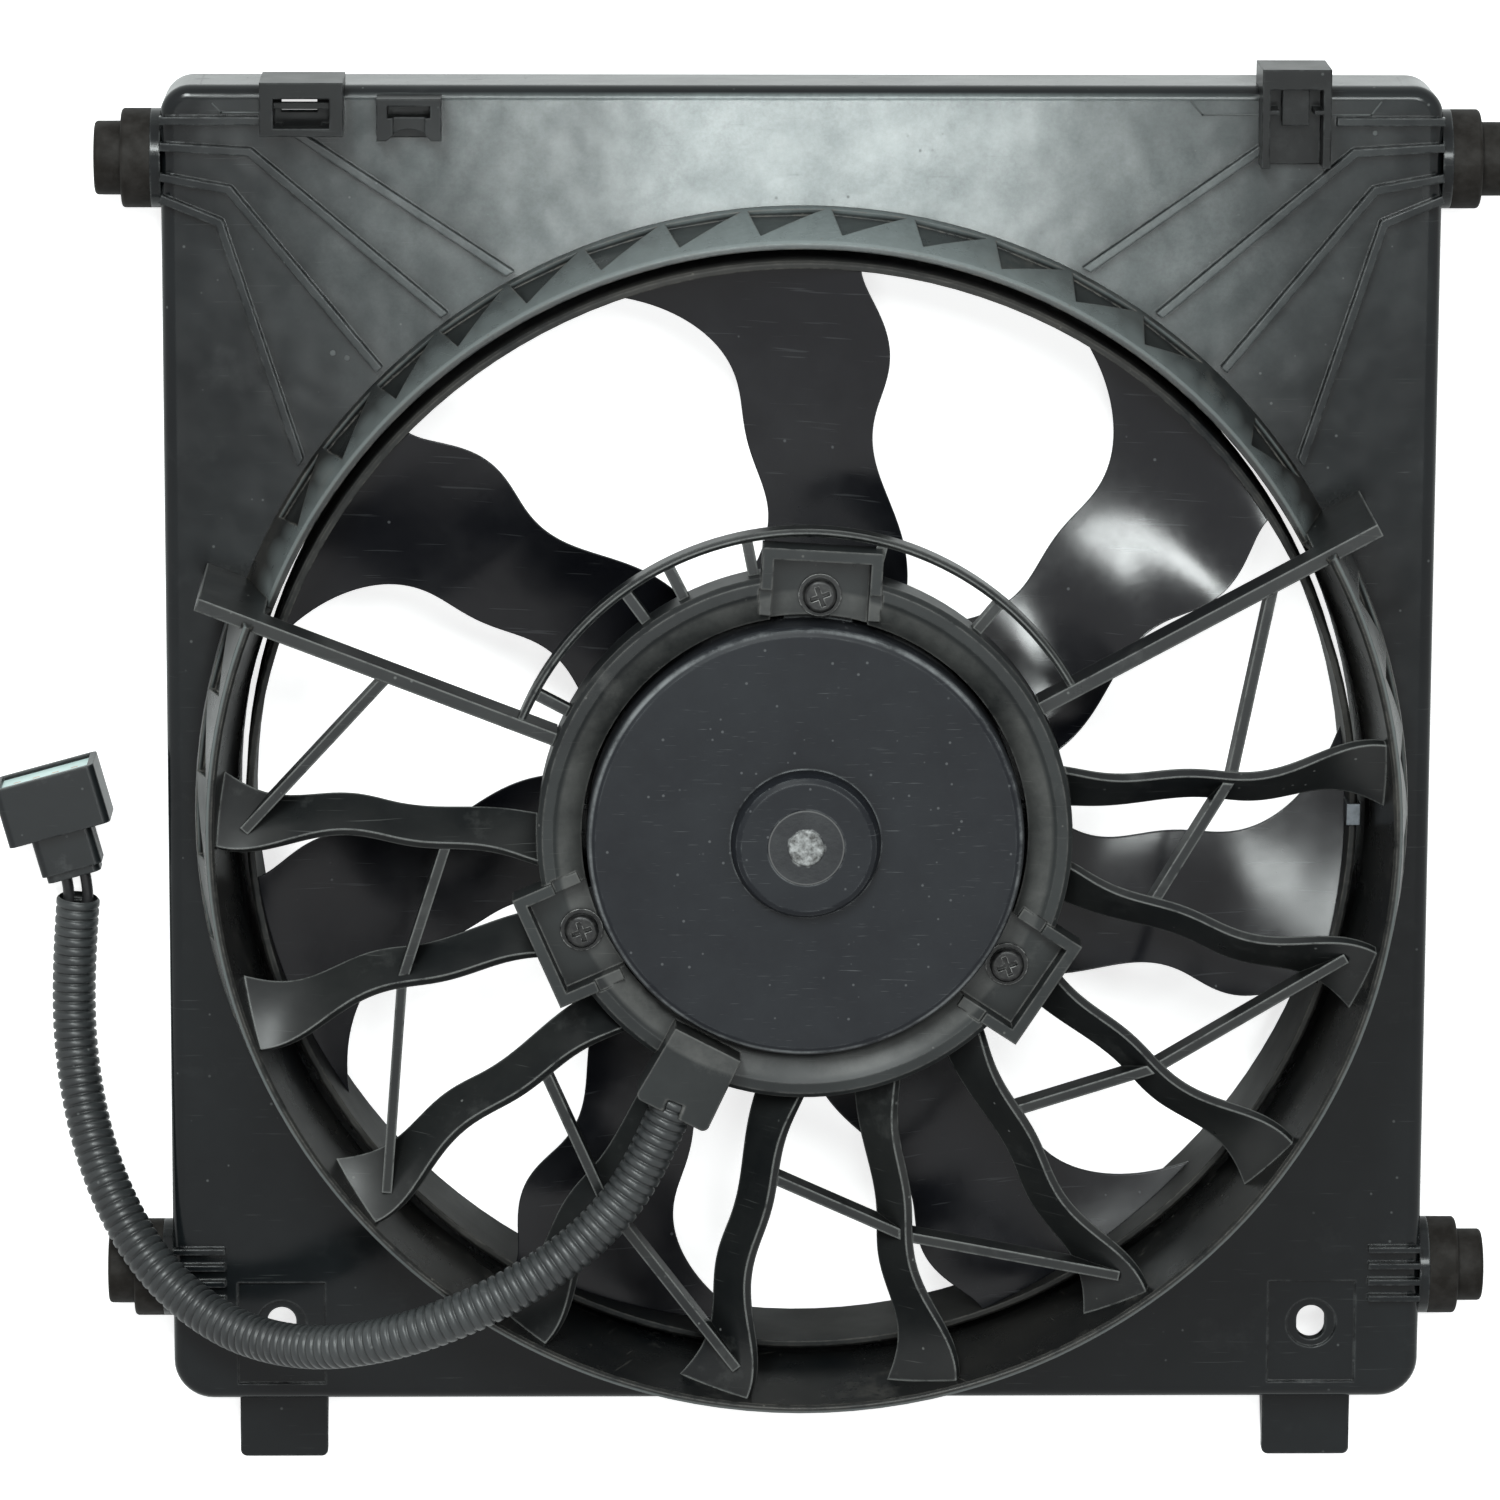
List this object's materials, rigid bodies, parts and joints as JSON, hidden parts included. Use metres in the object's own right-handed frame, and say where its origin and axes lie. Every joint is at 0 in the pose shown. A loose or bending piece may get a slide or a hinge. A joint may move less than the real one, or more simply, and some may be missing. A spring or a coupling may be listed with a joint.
{
  "type": "condenser fan",
  "caption": "Condenser fan: square plastic shroud with a deep collar, flat motor held on curved arms, banded rotor, rubber side isolators and a ribbed lead with a plug.",
  "frame": {"origin": "middle of the bounding box of the fan without its lead, at the rear rim of the shroud", "axes": "+Z along the fan axis from the rear rim to the motor side, +Y to the edge with the clips, +X to the right"},
  "size_m": [0.4528, 0.4308, 0.107],
  "materials": {
    "moulded_black": "moulded, slightly satin",
    "moulded_ring": "moulded, satin",
    "fan_plastic": "smooth moulded",
    "isolator_rubber": "matt",
    "motor_black": "black coated",
    "cap_metal": "black coated",
    "screw_zinc": "zinc plated",
    "bearing_steel": "ground",
    "bell_steel": "coated",
    "magnet": "ferrite",
    "core_steel": "laminated",
    "copper": "enamelled copper",
    "board": "solder mask",
    "capacitor_can": "can",
    "conduit_plastic": "ribbed",
    "wire_insulation": "insulation",
    "plug_black": "moulded",
    "plug_pale": "moulded"
  },
  "bodies": {
    "fan_frame": {"shroud_panel": "moulded_black", "panel_walls": "moulded_black", "isolator_sockets": "moulded_black", "upper_band": "moulded_black", "collar": "moulded_black", "arm_braces": "moulded_black", "support_arm_01": "moulded_black", "support_arm_02": "moulded_black", "support_arm_03": "moulded_black", "support_arm_04": "moulded_black", "support_arm_05": "moulded_black", "support_arm_06": "moulded_black", "support_arm_07": "moulded_black", "support_arm_08": "moulded_black", "support_arm_09": "moulded_black", "support_arm_10": "moulded_black", "support_arm_11": "moulded_black", "support_arm_12": "moulded_black", "upper_left_clip": "moulded_black", "upper_right_clip": "moulded_black", "small_clip": "moulded_black", "lower_foot_left": "moulded_black", "lower_foot_right": "moulded_black", "rubber_isolators": "isolator_rubber", "motor_ring": "moulded_ring", "guard_hoop": "moulded_ring", "motor_housing": "motor_black", "lead_block": "motor_black", "end_cap": "cap_metal", "motor_screws": "screw_zinc", "screw_washers": "screw_zinc", "stator_core": "core_steel", "stator_windings": "copper", "circuit_board": "board", "capacitors": "capacitor_can", "bearing_outer_rings": "bearing_steel", "conduit": "conduit_plastic", "harness_wires": "wire_insulation", "plug_body": "plug_black", "plug_liner": "plug_pale", "plug_terminals": "copper"},
    "fan_rotor": {"rotor_shaft": "bearing_steel", "bearing_inner_rings": "bearing_steel", "wave_washer": "bearing_steel", "shaft_clip": "bearing_steel", "rotor_bell": "bell_steel", "rotor_magnets": "magnet", "fan_hub": "fan_plastic", "fan_band": "fan_plastic", "fan_screws": "screw_zinc", "balance_clip": "bearing_steel", "fan_blade_1": "fan_plastic", "fan_blade_2": "fan_plastic", "fan_blade_3": "fan_plastic", "fan_blade_4": "fan_plastic", "fan_blade_5": "fan_plastic", "fan_blade_6": "fan_plastic", "fan_blade_7": "fan_plastic"},
    "bearing_ball_sets": {"bearing_balls": "bearing_steel"}
  },
  "joints": [
    {"name": "fan_spin", "type": "hinge", "parent": "fan_frame", "child": "fan_rotor", "pos_m": [0, -0.0044, 0.06], "axis": [0, 0, 1], "continuous": true},
    {"name": "ball_orbit", "type": "hinge", "parent": "fan_frame", "child": "bearing_ball_sets", "pos_m": [0, -0.0044, 0.06], "axis": [0, 0, 1], "continuous": true}
  ]
}
